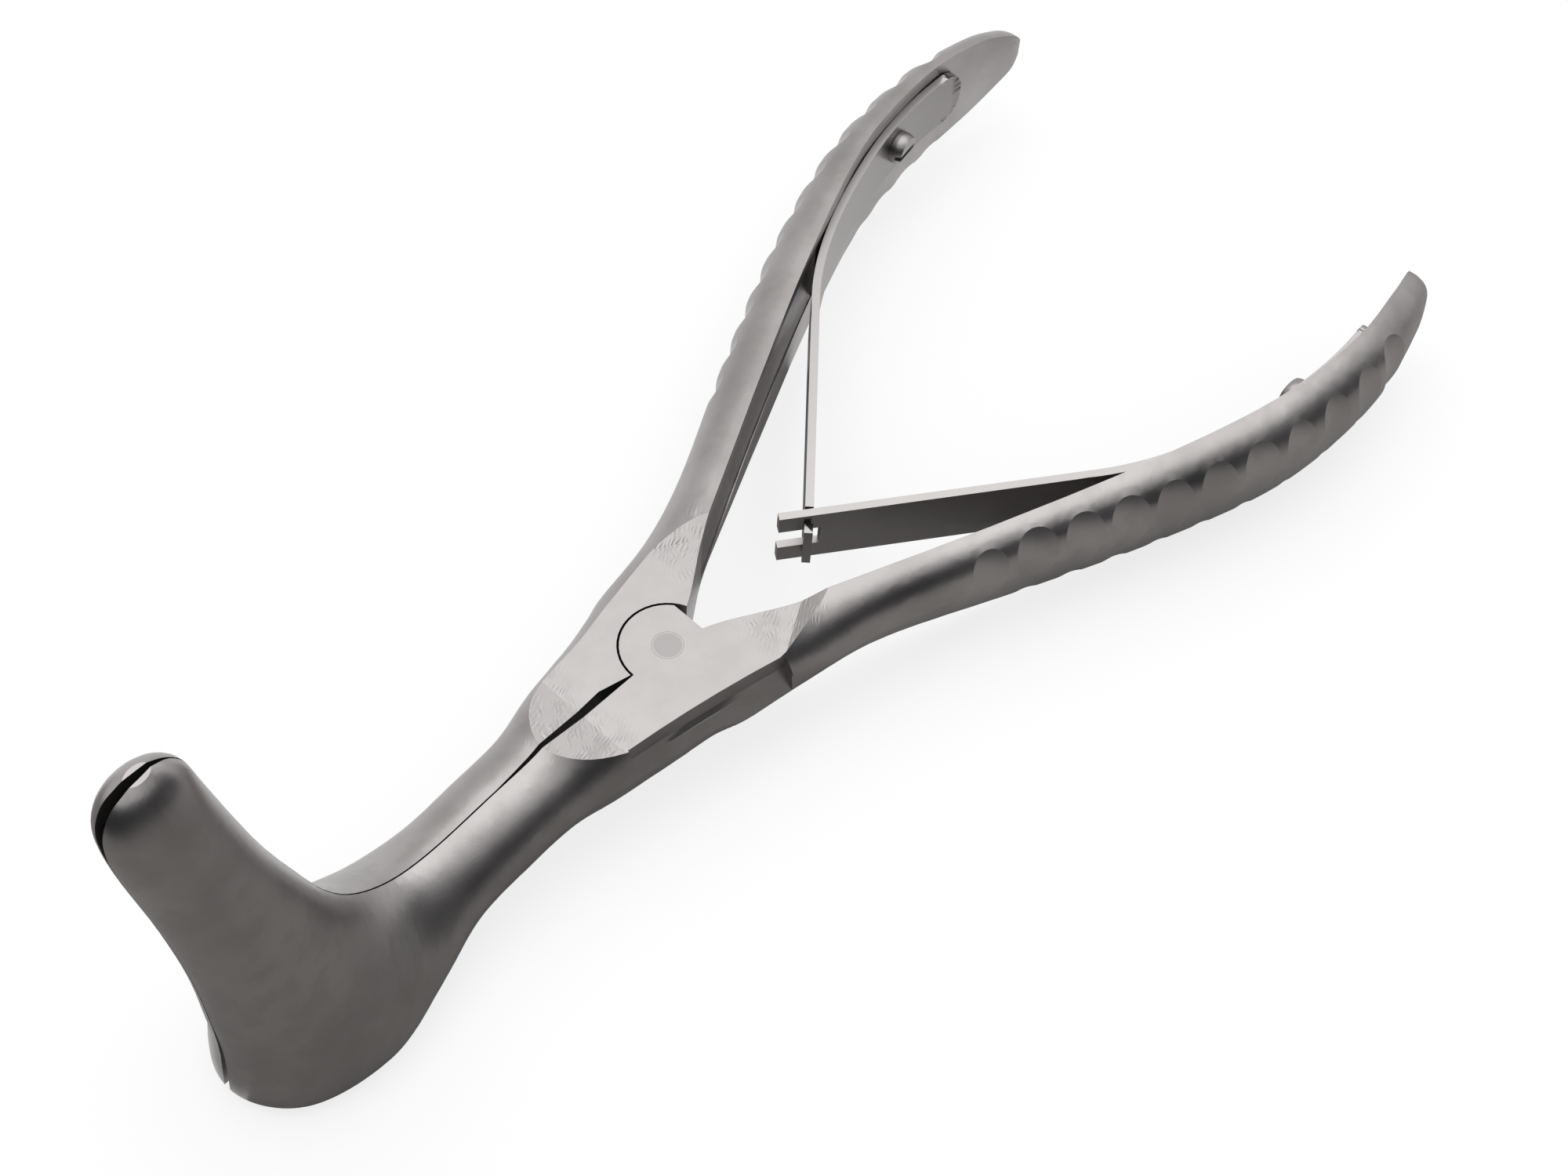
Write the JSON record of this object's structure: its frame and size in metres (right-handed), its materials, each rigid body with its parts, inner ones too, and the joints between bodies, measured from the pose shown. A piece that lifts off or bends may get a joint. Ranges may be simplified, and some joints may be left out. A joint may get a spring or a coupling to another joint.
{
  "type": "nasal speculum",
  "caption": "Nasal speculum with two long hollow blades turned up from a riveted pivot lock, and sprung handles with grip hollows.",
  "frame": {"origin": "on the pivot axis, at the ground underside of the lock", "axes": "+X along the joint line towards the blades, +Z along the pivot axis towards the blade tips, +Y towards the near half"},
  "size_m": [0.1566, 0.0674, 0.0566],
  "materials": {
    "steel": "satin",
    "spring_steel": "satin"
  },
  "bodies": {
    "far": {"far_half": "steel", "pivot_pin": "steel", "tongue_spring": "spring_steel", "tongue_spring_screw": "steel"},
    "near": {"near_half": "steel", "fork_spring": "spring_steel", "fork_spring_screw": "steel"}
  },
  "joints": [
    {"name": "blade_opening", "type": "hinge", "parent": "far", "child": "near", "pos_m": [0, 0, 0.0041], "axis": [0, 0, 1], "range_deg": [0, 25], "stiffness_Nm_per_rad": 1.2, "springref_deg": -11.46, "deforming": ["fork_spring", "tongue_spring"]}
  ]
}
